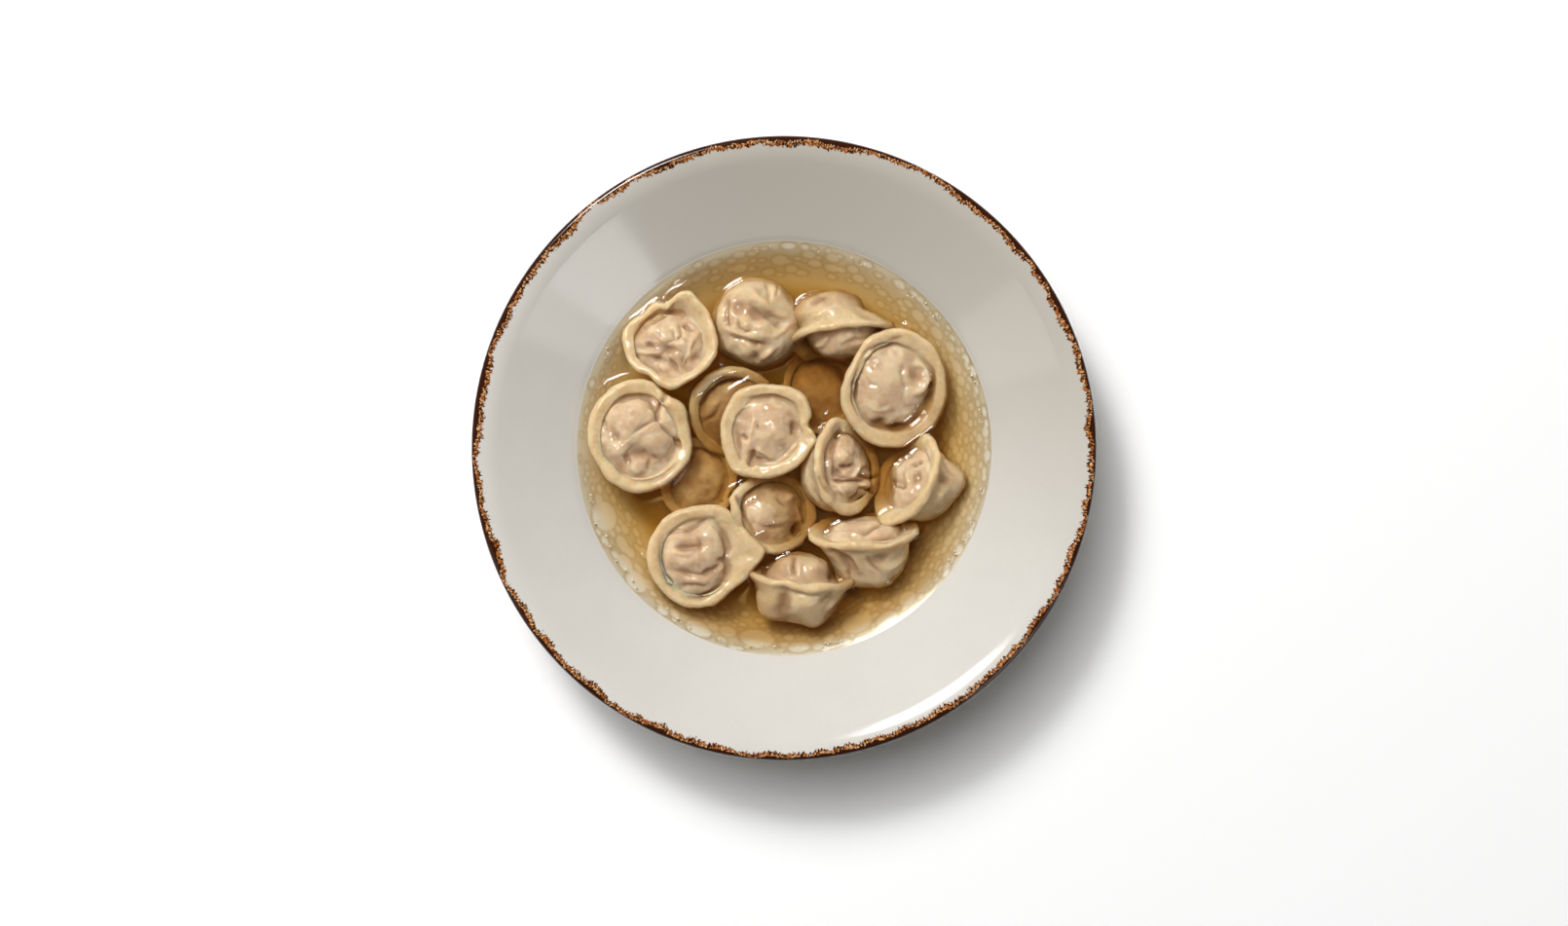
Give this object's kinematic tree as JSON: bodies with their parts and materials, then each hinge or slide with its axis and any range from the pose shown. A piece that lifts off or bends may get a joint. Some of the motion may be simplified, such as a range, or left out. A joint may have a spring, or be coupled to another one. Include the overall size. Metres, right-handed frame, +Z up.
{
  "type": "bowl of lamb pelmeni in broth",
  "caption": "Wide-brimmed glazed soup bowl with a speckled brown rim, filled with clear golden broth and boiled lamb dumplings that stand out of it.",
  "frame": {"origin": "the middle of the foot ring's underside, on the table", "axes": "+Z up; +Y towards the top of the picture, +X towards its right"},
  "size_m": [0.24, 0.24, 0.0452],
  "materials": {
    "glaze": "smooth glossy off-white glaze, speckled brown at the rim",
    "broth": "clear golden broth with drops of fat, wet and glossy",
    "dough": "boiled thin wheat dough, wet, slightly see-through, with the meat showing as a mauve tint"
  },
  "bodies": {
    "root": {"bowl": "glaze", "broth": "broth", "pelmen_upper_left": "dough", "pelmen_top": "dough", "pelmen_top_right": "dough", "pelmen_big_right": "dough", "pelmen_left": "dough", "pelmen_behind_centre": "dough", "pelmen_centre": "dough", "pelmen_below_centre": "dough", "pelmen_inner_right": "dough", "pelmen_right": "dough", "pelmen_lower_left": "dough", "pelmen_bottom": "dough", "pelmen_lower_right": "dough"}
  },
  "joints": []
}
